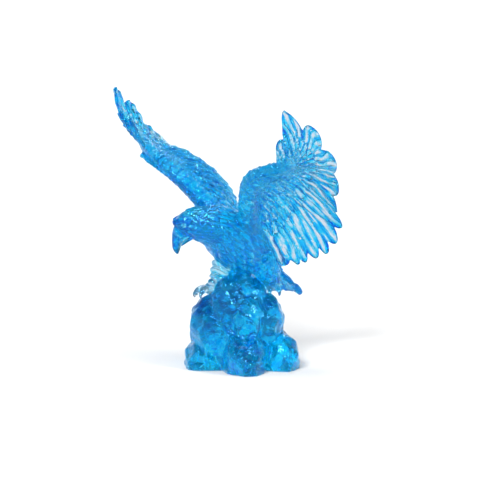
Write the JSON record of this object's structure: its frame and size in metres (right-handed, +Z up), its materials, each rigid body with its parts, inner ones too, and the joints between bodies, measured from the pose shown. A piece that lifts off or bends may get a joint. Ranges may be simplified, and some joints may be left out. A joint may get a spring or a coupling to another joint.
{
  "type": "glass eagle figurine",
  "caption": "Cast figurine in clear blue glass: an eagle lands on a cluster of boulders, its wings raised in a V and its head turned to its right.",
  "frame": {"origin": "middle of the rock's flat underside, on the surface that the figurine stands on", "axes": "+Z up, -Y the way the eagle's body faces, +X towards its left wing"},
  "size_m": [0.1868, 0.1072, 0.2002],
  "materials": {
    "blue_glass": "polished, clear, tinted azure blue"
  },
  "bodies": {
    "root": {"eagle_figurine": "blue_glass"}
  },
  "joints": []
}
